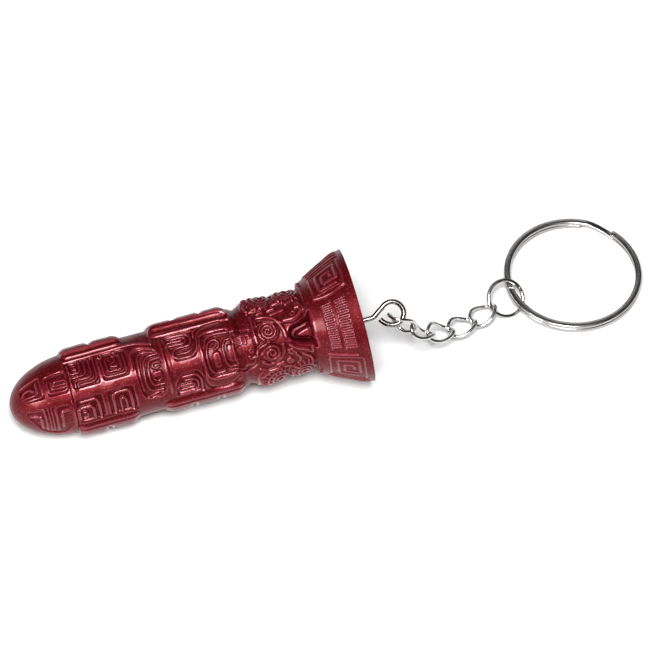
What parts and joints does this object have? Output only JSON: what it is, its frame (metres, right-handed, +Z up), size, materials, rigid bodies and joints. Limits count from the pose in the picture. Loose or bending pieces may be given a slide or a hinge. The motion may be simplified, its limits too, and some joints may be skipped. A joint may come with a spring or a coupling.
{
  "type": "keychain",
  "caption": "Souvenir keychain: a carved bullet-shaped pendant with a flared base, hung by a screw eye and a twisted link chain from a split ring.",
  "frame": {"origin": "middle of the bounding box in plan, on the plane the keychain lies on", "axes": "+Z up from the plane, +X from the pendant's nose towards the split ring, along the pendant's axis in plan"},
  "size_m": [0.1195, 0.0312, 0.0246],
  "materials": {
    "pendant": "pearlescent crimson, soft gloss, darker in the recesses",
    "screw_eye": "nickel-plated steel wire, bright, slightly worn",
    "chain": "bright nickel-plated steel wire",
    "jump_ring": "bright nickel-plated steel wire",
    "split_ring": "bright nickel-plated spring steel"
  },
  "bodies": {
    "pendant": {"pendant": "pendant", "screw_eye": "screw_eye"},
    "chain_link_1": {"chain_link_1": "chain"},
    "chain_link_2": {"chain_link_2": "chain"},
    "chain_link_3": {"chain_link_3": "chain"},
    "chain_link_4": {"chain_link_4": "chain"},
    "chain_link_5": {"chain_link_5": "chain"},
    "jump_ring": {"jump_ring": "jump_ring"},
    "split_ring": {"split_ring": "split_ring"}
  },
  "joints": [
    {"name": "link_1_swing", "type": "hinge", "parent": "pendant", "child": "chain_link_1", "pos_m": [0.01254, -0.00582, 0.01117], "axis": [-0.816, -0.4341, -0.3817], "range_deg": [-95, 65]},
    {"name": "link_2_swing", "type": "hinge", "parent": "chain_link_1", "child": "chain_link_2", "pos_m": [0.01489, -0.00643, 0.00858], "axis": [0.6292, 0.0713, 0.774], "range_deg": [-110, 75]},
    {"name": "link_3_swing", "type": "hinge", "parent": "chain_link_2", "child": "chain_link_3", "pos_m": [0.01827, -0.00545, 0.00506], "axis": [-0.6597, 0.5839, -0.4731], "range_deg": [-110, 85]},
    {"name": "link_4_swing", "type": "hinge", "parent": "chain_link_3", "child": "chain_link_4", "pos_m": [0.02261, -0.00421, 0.00296], "axis": [0.4455, -0.764, 0.4668], "range_deg": [-70, 65]},
    {"name": "link_5_swing", "type": "hinge", "parent": "chain_link_4", "child": "chain_link_5", "pos_m": [0.02727, -0.0027, 0.00209], "axis": [-0.3462, 0.7273, -0.5927], "range_deg": [-45, 95]},
    {"name": "jump_ring_swing", "type": "hinge", "parent": "chain_link_5", "child": "jump_ring", "pos_m": [0.03149, -0.00006, 0.00183], "axis": [0.4178, -0.6013, 0.6811], "range_deg": [-55, 110]},
    {"name": "split_ring_swing", "type": "hinge", "parent": "jump_ring", "child": "split_ring", "pos_m": [0.03553, 0.00085, 0.00213], "axis": [-0.1857, 0.9826, 0], "range_deg": [-110, 110]}
  ]
}
